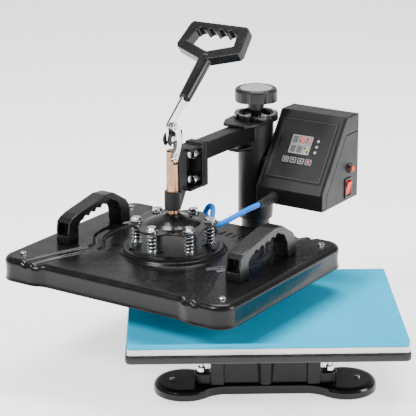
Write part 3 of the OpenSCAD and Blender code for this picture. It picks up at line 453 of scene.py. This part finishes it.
def round_rect(w, d, r, step=3.0):
    """Outline of a rectangle with round corners: points and outward normals, evenly spaced."""
    pts = []
    for k, (cx, cy) in enumerate(((w / 2 - r, d / 2 - r), (-w / 2 + r, d / 2 - r),
                                  (-w / 2 + r, -d / 2 + r), (w / 2 - r, -d / 2 + r))):
        arc = max(4, int(r * math.pi / 2 / min(step, max(0.3, r / 4))))
        for i in range(arc + 1):
            a = math.pi / 2 * (k + i / arc)
            n = (math.cos(a), math.sin(a))
            pts.append((cx + r * n[0], cy + r * n[1], n[0], n[1]))
        a = math.pi / 2 * (k + 1)
        n = (math.cos(a), math.sin(a))
        length = (w if k % 2 == 0 else d) - 2 * r
        along = (-math.sin(a), math.cos(a))
        parts = max(1, int(length / step))
        x, y = pts[-1][:2]
        for i in range(1, parts):
            t = length * i / parts
            pts.append((x + along[0] * t, y + along[1] * t, n[0], n[1]))
    return pts


def smooth_step(lo, hi, x):
    t = min(1.0, max(0.0, (x - lo) / (hi - lo)))
    return t * t * (3 - 2 * t)


def catmull(points, per):
    out = []
    last = len(points) - 1
    for i in range(last):
        a, b, c, d = (points[max(0, i - 1)], points[i], points[i + 1], points[min(last, i + 2)])
        for k in range(per):
            t = k / per
            out.append(0.5 * (2 * b + (c - a) * t + (2 * a - 5 * b + 4 * c - d) * t * t
                              + (3 * b - a - 3 * c + d) * t ** 3))
    return out + [points[-1].copy()]


def sweep(bm, line, radius, sides=12, close=True):
    """Round tube along a line of points; radius is a number or a function of the share of the way."""
    rings = []
    side = None
    n = len(line)
    for i, p in enumerate(line):
        d = (line[min(n - 1, i + 1)] - line[max(0, i - 1)]).normalized()
        if side is None:
            side = d.orthogonal().normalized()
        side = (side - d * side.dot(d)).normalized()
        other = d.cross(side)
        r = radius(i / (n - 1)) if callable(radius) else radius
        rings.append([p + r * (math.cos(2 * math.pi * k / sides) * side
                               + math.sin(2 * math.pi * k / sides) * other) for k in range(sides)])
    loft(bm, rings, close)


# ---- Heater cable ----
CABLE = ((58, -36, 213), (58, -62, 213), (58, -90, 213), (57.6, -103, 213), (56, -117, 212),
         (53, -135.8, 209.5), (48, -154.4, 205.6), (43, -168, 203), (39.2, -173.6, 203),
         (35.6, -174.6, 206), (32.8, -170.8, 210.8), (29.8, -165, 215.8), (26.4, -159, 219.6),
         (21.5, -153.4, 222), (15, -149.6, 221), (10.6, -149.6, 216.6), (7, -149, 210.5),
         (4.4, -144, 203.5), (1.8, -136, 197), (0.3, -128.6, 190.6), (0, -124.6, 184), (0, -124, 178),
         (0, -124, 173), (0, -124, 168))


def make_cable():
    line = catmull([head(*p) for p in CABLE], 5)
    bm = bmesh.new()

    def sleeve(t):
        return 0.00388 + 0.00009 * math.sin(9 * t) + 0.00003 * math.sin(150 * t) * math.sin(37 * t)
    sweep(bm, line, sleeve, 20)
    me = to_mesh("heater_cable_sleeve", bm)
    me.materials.append(MAT["sleeve"])
    o = bpy.data.objects.new("heater_cable_sleeve", me)
    bpy.context.collection.objects.link(o)
    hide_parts("heater_cable")
    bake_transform(o)


make_cable()


# ---- Castings, mouldings and trimmed metal ----
cast("front_foot", "front_foot_casting", "feet", 1.2, 8)
cast("rear_foot", "rear_foot_casting", "feet", 1.6, 6)
cast("platen_holder", "platen_holder_casting", "cast", 1.3, 4)
cast("head_casting", "head_casting_body", "cast", 1.2, 4)
cast("toggle_frame", "toggle_frame_casting", "cast", 0.8, 4)
cast("cap_plate", "cap_plate_casting", "cast", 0.9, 4)
cast("pressure_spider", "pressure_spider_pressing", "spider", 0.8, 6)
cast("handle_left", "handle_left_moulding", "handle", 0.7, 8)
cast("handle_right", "handle_right_moulding", "handle", 0.7, 8)
cast("lever_grip", "lever_grip_moulding", "handle", 0.7, 9)
cast("pressure_knob", "pressure_knob_moulding", "knob", 0.7, 10)
cast("wing_nut_left", "wing_nut_left_casting", "zinc", 0.4, 5)
cast("wing_nut_right", "wing_nut_right_casting", "zinc", 0.4, 5)
cast("lower_platen", "lower_platen_plate", "platen", 1.8, 4)
cast("case_front", "case_front_moulding", "case", 0.9, 3)
cast("case_back", "case_back_moulding", "case", 0.9, 3)

TRIMMED = (("base_spine", "tube", 0.8), ("column_post", "tube", 0.6), ("lock_ring", "gloss_edge", 0.6),
           ("bracket_bolts", "zinc", 0.4), ("lever_bar", "steel", 0.5), ("link_plate", "steel", 0.5),
           ("link_rivets", "zinc", 0.4), ("plunger_rod", "copper", 0.4), ("spring_bolts", "bolt", 0.35),
           ("pressure_disc", "disc", 0.5),
           ("rocker_frame", "case_dark", 0.5), ("power_rocker", "red", 0.4),
           ("reset_bezel", "case_dark", 0.4), ("reset_button", "orange", 0.5),
           ("mains_inlet", "case_dark", 0.4), ("strain_relief", "boot", 0.4), ("cover_screws", "zinc", 0.2),
           ("foot_screws", "zinc", 0.2), ("knob_cap", "grey_disc", 0.3), ("spine_bolts", "zinc", 0.3),
           ("cable_grommet", "rubber", 0.5))
for node, finish, width in TRIMMED:
    trimmed(node, node + "_part", finish, width)


def film():
    """Printed label: flat, with its edges just broken."""
    me = bake(cad_copy("panel_label"),
              ("BEVEL", {"width": 0.12 * MM, "segments": 1, "limit_method": "ANGLE"}))
    me.normals_split_custom_set([tuple(p.normal) for p in me.polygons for _ in p.loop_indices])
    piece("panel_label_film", me, "label", "panel_label", True)


film()


# ---- Compression springs ----
def make_springs():
    bm = bmesh.new()
    low, high = 0.1838, 0.2108
    pitch_r, coil_r, wire_r = 0.052, 0.0061, 0.00118
    turns, per = 6.5, 18
    for k in range(6):
        a = math.radians(30 + 60 * k)
        centre = Vector((pitch_r * math.cos(a), pitch_r * math.sin(a), 0))
        line = []
        for i in range(int(turns * per) + 1):
            t = i / (turns * per)
            dead = 0.75 / turns
            rise = smooth_step(0, 1, (t - dead) / (1 - 2 * dead)) * 0.25
            rise += 0.75 * min(1, max(0, (t - dead) / (1 - 2 * dead)))
            ang = 2 * math.pi * turns * t + k
            z = low + 0.0013 + (high - low - 0.0026) * rise
            turn = Vector((coil_r * math.cos(ang), coil_r * math.sin(ang), z))
            line.append(PLUNGER @ (centre + turn))
        sweep(bm, line, wire_r, 8)
    o = piece("compression_springs", to_mesh("compression_springs", bm), "spring", "springs", True)
    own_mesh(o)


make_springs()


# ---- Lower pads ----
def foam_slab(node, name, mat, edge, cut):
    """Foam sheet with crowned edges, sides that pull in a little and a faintly uneven cut."""
    lo, hi = (Vector(p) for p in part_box(node))
    w, d = hi.x - lo.x, hi.y - lo.y
    mid = (lo + hi) / 2
    outline = round_rect(w, d, 0.004, 0.004)

    def ring(inset, z, wave=1.0):
        out = []
        for x, y, nx, ny in outline:
            j = cut * wave * noise.noise((x * 60, y * 60, z * 240)) if inset < 0.004 else 0
            k = inset + abs(j)
            out.append(Vector((mid.x + x - nx * k, mid.y + y - ny * k, z)))
        return out
    rings = [ring(edge, lo.z + 0.0001), ring(0.0, lo.z + edge * 0.7)]
    for i in range(1, 6):
        t = i / 6
        z = lo.z + edge * 0.7 + t * (hi.z - lo.z - edge * 1.7)
        rings.append(ring(0.0005 * math.sin(math.pi * t), z))
    for i in range(7):
        a = math.pi / 2 * i / 6
        rings.append(ring(edge * (1 - math.cos(a)), hi.z - edge + edge * math.sin(a) - 0.0002))
    top = rings[-1]
    centre = Vector((mid.x, mid.y, 0))
    for s in (0.985, 0.96, 0.93, 0.88, 0.82, 0.75, 0.66, 0.56, 0.45, 0.33, 0.2, 0.08):
        row = []
        for p in top:
            q = centre + (p - centre) * s
            sway = 0.5 + 0.5 * noise.noise((q.x * 9, q.y * 9, 3.1))
            q.z = hi.z - 0.0002 * sway
            row.append(q)
        rings.append(row)
    bm = bmesh.new()
    loft(bm, rings)
    o = piece(name, to_mesh(name, bm), mat, node, True)
    return o


foam_slab("silicone_pad", "blue_silicone_slab", "cyan", 0.0012, 0.00035)
foam_slab("felt_pad", "cream_sponge_slab", "cream", 0.0016, 0.0005)


# ---- Pressed cover of the heated platen ----
COVER_W, COVER_D = 0.384, 0.318
# Heights above the table, groove depth, boss radii and cable entry, in millimetres
MIDDLE_Z, RIM_Z, BOSS_Z = 172.1, 173.0, 177.4
GROOVE = 2.4
BOSS_TOP_R, BOSS_FOOT_R = 72.6, 76
ENTRY_V = 98
# Inner edge of the first groove on one side: (depth place, distance from the middle)
STEP_LINE = ((-159, 124), (-130, 116), (-105, 107), (-75, 94), (-55, 84), (-42, 84), (-30, 92), (-15, 104),
             (0, 110), (20, 113), (40, 113), (60, 108), (75, 98), (88, 90), (100, 90), (120, 100),
             (145, 116), (159, 124))


def cover_height(x, y):
    """Top of the pressing, in metres: low middle, soft step up, two grooves and a round pad for the disc."""
    u, v = abs(x) * 1000, y * 1000
    inner = np.interp(v, [p[0] for p in STEP_LINE], [p[1] for p in STEP_LINE])
    z = MIDDLE_Z + (RIM_Z - MIDDLE_Z) * smooth_step(inner + 4, inner + 26, u)
    for start in (0, 17):
        edge = u - inner - start
        z -= GROOVE * smooth_step(-2, 1.2, edge) * (1 - smooth_step(7.8, 11, edge))
    hole = math.hypot(u, v - ENTRY_V)
    z += (RIM_Z - z) * (1 - smooth_step(12, 17, hole))
    z = min(z + 0.12 * noise.noise((x * 14, y * 14, 0.7)), RIM_Z)
    z += (BOSS_Z - z) * (1 - smooth_step(BOSS_TOP_R, BOSS_FOOT_R, math.hypot(u, v)))
    return z * MM


def make_cover():
    base = 0.1398
    outline = []
    for x, y, nx, ny in round_rect(COVER_W, COVER_D, 0.026, 0.0022):
        near = 1 - smooth_step(0.110, 0.134, abs(x)) if abs(ny) > 0.9 else 0
        outline.append((x, y - math.copysign(0.0062, y) * near, nx, ny))
    fillet = 0.0085

    inner = [(x - nx * fillet, y - ny * fillet) for x, y, nx, ny in outline]
    edge = [Vector((x, y, cover_height(x, y))) for x, y in inner]
    rings = []
    steps = 140
    for i in range(steps):
        s = 0.02 + 0.98 * (i / steps)
        rings.append([Vector((p.x * s, p.y * s, cover_height(p.x * s, p.y * s))) for p in edge])
    rings.append(edge)
    tops = [p.z for p in edge]
    for i in range(1, 11):
        a = math.pi / 2 * i / 10
        inset = fillet * (1 - math.sin(a))
        drop = fillet * (1 - math.cos(a))
        rings.append([Vector((x - nx * inset, y - ny * inset, t - drop))
                      for (x, y, nx, ny), t in zip(outline, tops)])
    for t in (0.15, 0.35, 0.55, 0.75, 0.88, 0.95, 1.0):
        flare = 0.0009 * smooth_step(0.78, 1.0, t) - 0.0006 * math.sin(math.pi * t)
        rings.append([Vector((x + nx * (flare - 0.0005), y + ny * (flare - 0.0005),
                              (top - fillet) * (1 - t) + base * t))
                      for (x, y, nx, ny), top in zip(outline, tops)])
    bm = bmesh.new()
    loft(bm, rings, False)
    bm.verts.ensure_lookup_table()
    n = len(outline)
    bm.faces.new(bm.verts[:n][::-1])
    me = to_mesh("cover_skin", bm)
    slits = bmesh.new()
    for i in range(4):
        m = Matrix.Translation((0.0195 + 0.011 * i, 0.1, 0.168)) @ Matrix.Diagonal((0.003, 0.018, 0.02, 1))
        bmesh.ops.create_cube(slits, size=1, matrix=m)
    bmesh.ops.create_cone(slits, cap_ends=True, segments=40, radius1=0.007, radius2=0.007, depth=0.03,
                          matrix=Matrix.Translation((0, ENTRY_V * MM, 0.17)))
    cutter = bpy.data.objects.new("cutter", to_mesh("cutter", slits, False))
    bpy.context.collection.objects.link(cutter)
    me = bake(me, ("SOLIDIFY", {"thickness": 0.0018, "offset": -1.0}),
              ("BOOLEAN", {"object": cutter, "operation": "DIFFERENCE", "solver": "EXACT"}))
    bpy.data.objects.remove(cutter)
    me.transform(PLUNGER)
    for p in me.polygons:
        p.use_smooth = True
    piece("platen_cover_pressing", me, "cover", "platen_cover", True)


make_cover()


# ---- Control panel, drawn in millimetres on the sloped face ----
# Depth and height of the face's lower and upper edge
FACE_LOW, FACE_HIGH = (-43, 227), (30, 331)
SLOPE = math.atan2(FACE_HIGH[1] - FACE_LOW[1], FACE_HIGH[0] - FACE_LOW[0])
PANEL = HEAD @ Matrix.Translation((0.028, -0.043, 0.227)) @ Matrix.Rotation(SLOPE, 4, "X")
WINDOWS = ((51, 81.5), (51, 66.5))
KEYS = (("key_set", 33.5, 48.5), ("key_down", 46.5, 48.5), ("key_up", 59.5, 48.5), ("key_stop", 72.5, 48.5))
LAMPS = ((78, 83), (78, 74), (78, 65))


def on_panel(bm):
    bmesh.ops.scale(bm, vec=(MM, MM, MM), verts=bm.verts)
    bmesh.ops.transform(bm, matrix=PANEL, verts=bm.verts)
    return bm


def tile(bm, cx, cy, w, h, r, z0, z1, edge=0.2):
    """Flat tile with round corners and a soft upper edge."""
    outline = round_rect(w, h, r, 4.0)
    rings = [[(cx + x, cy + y, z0) for x, y, nx, ny in outline]]
    for i in range(4):
        a = math.pi / 2 * i / 3
        k = edge * (1 - math.cos(a))
        rings.append([(cx + x - nx * k, cy + y - ny * k, z1 - edge + edge * math.sin(a))
                      for x, y, nx, ny in outline])
    loft(bm, rings)


def frame_bead(bm, cx, cy, w, h, r, z, width, rise):
    """Raised line round a rectangle."""
    outline = round_rect(w, h, r, 4.0)
    rows = []
    for inset, up in ((0, 0), (width * 0.2, rise), (width * 0.8, rise), (width, 0)):
        rows.append([bm.verts.new((cx + x - nx * inset, cy + y - ny * inset, z + up))
                     for x, y, nx, ny in outline])
    n = len(outline)
    for a, b in zip(rows, rows[1:]):
        for i in range(n):
            bm.faces.new((a[i], a[(i + 1) % n], b[(i + 1) % n], b[i]))


# Segment bars of a digit: centre and whether upright, for a digit 1 wide and 2 high
SEGMENTS = {"a": (0, 1, 0), "b": (0.5, 0.5, 1), "c": (0.5, -0.5, 1), "d": (0, -1, 0), "e": (-0.5, -0.5, 1),
            "f": (-0.5, 0.5, 1), "g": (0, 0, 0)}
SHOWN = {"2": "abged", "3": "abgcd", "9": "abcdfg", "8": "abcdefg"}


def segments(bm, cx, cy, names, size, z):
    for name in names:
        sx, sy, upright = SEGMENTS[name]
        half, thick = size * 0.42, size * 0.11
        shape = ((-half, 0), (-half + thick, -thick), (half - thick, -thick), (half, 0),
                 (half - thick, thick), (-half + thick, thick))
        low, high = [], []
        for x, y in shape:
            if upright:
                x, y = -y, x
            px = cx + sx * size + x
            py = cy + sy * size + y
            px += 0.12 * (py - cy)
            low.append(bm.verts.new((px, py, z)))
            high.append(bm.verts.new((px, py, z + 0.08)))
        bm.faces.new(high)
        for i in range(6):
            bm.faces.new((low[i], low[(i + 1) % 6], high[(i + 1) % 6], high[i]))


def panel_piece(name, mat, like, build, replaces=False):
    bm = bmesh.new()
    build(bm)
    return piece(name, to_mesh(name, on_panel(bm), False), mat, like, replaces)


def make_panel():
    cells = [(cx + k * 11.0, cy) for cx, cy in WINDOWS for k in (-1, 0, 1)]
    lit = {1: "9", 2: "3", 5: "2"}
    panel_piece("label_border", "print", "panel_label",
                lambda bm: frame_bead(bm, 56, 66.5, 88, 93, 3, 0.0, 0.5, 0.12))

    def glass(bm):
        for cx, cy in WINDOWS:
            tile(bm, cx, cy, 33.8, 13.3, 0.6, -5.9, 0.1)
    panel_piece("display_glass", "glass", "display_windows", glass, True)

    def rims(bm):
        for cx, cy in WINDOWS:
            frame_bead(bm, cx, cy, 34.6, 14.2, 0.8, 0.02, 0.9, 0.25)
        for cx, cy in cells:
            frame_bead(bm, cx, cy, 10.8, 12.6, 0.4, 0.1, 0.55, 0.1)
    panel_piece("display_rims", "print_light", "display_windows", rims)

    def dark(bm):
        for i, (cx, cy) in enumerate(cells):
            rest = [s for s in SHOWN["8"] if s not in SHOWN.get(lit.get(i), "")]
            segments(bm, cx, cy, rest, 4.3, 0.1)
    panel_piece("segments_off", "segment_off", "display_windows", dark)
    panel_piece("segments_red", "segment_red", "display_windows",
                lambda bm: [segments(bm, *cells[i], SHOWN[lit[i]], 4.3, 0.12) for i in (1, 2)])
    panel_piece("segments_green", "segment_green", "display_windows",
                lambda bm: segments(bm, *cells[5], SHOWN["2"], 4.3, 0.12))
    panel_piece("lamp_rims", "print_light", "panel_label",
                lambda bm: [frame_bead(bm, x, y, 4.6, 4.6, 2.29, 0.0, 0.7, 0.25) for x, y in LAMPS])

    for name, cx, cy in KEYS:
        panel_piece(name + "_body_part", "key", name,
                    lambda bm: tile(bm, cx, cy, 10.5, 8.9, 1.2, -4.9, 0.95, 0.4), True)
        panel_piece(name + "_face", "key_dark", name,
                    lambda bm: tile(bm, cx, cy, 8.3, 6.7, 0.8, 0.8, 1.0, 0.05))

    def mark(name, like, mat, shapes):
        def build(bm):
            for shape in shapes:
                low = [bm.verts.new((x, y, 0.98)) for x, y in shape]
                high = [bm.verts.new((x, y, 1.06)) for x, y in shape]
                bm.faces.new(high)
                for i in range(len(shape)):
                    j = (i + 1) % len(shape)
                    bm.faces.new((low[i], low[j], high[j], high[i]))
        panel_piece(name, mat, like, build)

    def bar(cx, cy, w, h):
        return [(cx - w / 2, cy - h / 2), (cx + w / 2, cy - h / 2), (cx + w / 2, cy + h / 2),
                (cx - w / 2, cy + h / 2)]
    x, y = KEYS[0][1:]
    mark("key_set_mark", "key_set", "print_light",
         [bar(x, y + 1.4, 3.4, 0.6), bar(x, y - 1.4, 3.4, 0.6), bar(x - 1.4, y, 0.6, 2.2),
          bar(x + 1.4, y, 0.6, 2.2)])
    x, y = KEYS[1][1:]
    mark("key_down_mark", "key_down", "print_light", [[(x, y - 1.6), (x + 2, y + 1.2), (x - 2, y + 1.2)]])
    x, y = KEYS[2][1:]
    mark("key_up_mark", "key_up", "print_light", [[(x - 2, y - 1.2), (x + 2, y - 1.2), (x, y + 1.6)]])
    x, y = KEYS[3][1:]
    # Painted glow: the stop key's red square is a printed mark, yet it takes the glowing segment material
    mark("key_stop_mark", "key_stop", "segment_red", [bar(x, y, 3, 3)])


make_panel()


# ---- Studio ----
def sheet(name, rows, tone, glow_power):
    """Sheet across the studio along a side outline of (y, z) points."""
    bm = bmesh.new()
    verts = [[bm.verts.new((x, y, z - 0.0005)) for x in (-6, 6)] for y, z in rows]
    for a, b in zip(verts, verts[1:]):
        bm.faces.new((a[0], a[1], b[1], b[0]))
    me = to_mesh(name, bm)
    o = bpy.data.objects.new(name, me)
    bpy.context.collection.objects.link(o)
    n = Nodes(name + "_paper")
    tint = n.ramp(n.noise(3, 3), grey(tone * 0.97), grey(tone))
    me.materials.append(n.finish(tint, n.range(n.noise(20), 0.75, 0.85), 0.0, None, Specular_IOR_Level=0.1))
    n.bsdf.inputs["Emission Color"].default_value = (1, 1, 1, 1)
    n.bsdf.inputs["Emission Strength"].default_value = glow_power


def area(name, at, to, size, size_y, power):
    data = bpy.data.lights.new(name, "AREA")
    data.energy = power
    data.shape = "RECTANGLE"
    data.size = size
    data.size_y = size_y
    o = bpy.data.objects.new(name, data)
    o.location = at
    o.rotation_euler = (Vector(to) - Vector(at)).to_track_quat("-Z", "Y").to_euler()
    bpy.context.collection.objects.link(o)


def make_studio():
    sheet("floor", [(-6, 0), (3.2, 0)], 0.95, 1.35)
    sheet("backdrop", [(3.2, 0), (3.5, 0.15), (3.7, 0.6), (3.75, 4.5)], 0.6, 0.15)
    world = bpy.data.worlds.new("studio")
    world.use_nodes = True
    bg = world.node_tree.nodes["Background"]
    bg.inputs["Color"].default_value = (1, 1, 1, 1)
    bg.inputs["Strength"].default_value = 0.25
    bpy.context.scene.world = world
    area("key", (-1.6, -1.4, 2.2), (-0.1, -0.2, 0.2), 0.9, 0.9, 75)
    area("top", (0.1, 0.5, 2.4), (0, -0.1, 0.2), 1.6, 0.7, 70)
    area("side", (2.0, -0.9, 0.9), (0.1, -0.2, 0.2), 0.8, 1.2, 40)


make_studio()
